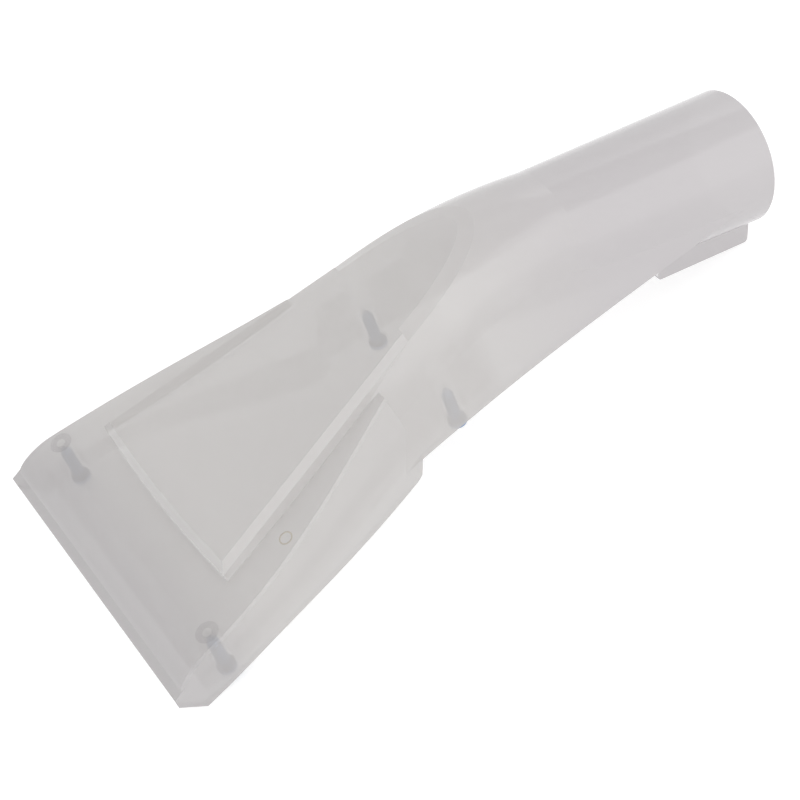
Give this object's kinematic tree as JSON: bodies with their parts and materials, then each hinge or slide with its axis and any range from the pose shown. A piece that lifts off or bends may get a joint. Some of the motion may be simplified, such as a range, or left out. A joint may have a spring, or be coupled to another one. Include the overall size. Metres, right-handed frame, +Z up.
{
  "type": "wet suction nozzle",
  "caption": "Clear plastic suction nozzle for wet cleaning: a flared hood with a wide front slot, a floor tray screwed on from below and a round hose socket.",
  "frame": {"origin": "middle of the footprint on the surface it lies on", "axes": "+Z up, +Y along the nozzle from the lip to the hose socket's mouth, X across"},
  "size_m": [0.0948, 0.211, 0.055],
  "materials": {
    "clear_plastic": "clear, faintly grey moulded plastic, smooth",
    "screw_steel": "dull zinc-plated steel"
  },
  "bodies": {
    "root": {"hood": "clear_plastic", "floor_tray": "clear_plastic", "front_screws": "screw_steel", "rear_screws": "screw_steel"}
  },
  "joints": []
}
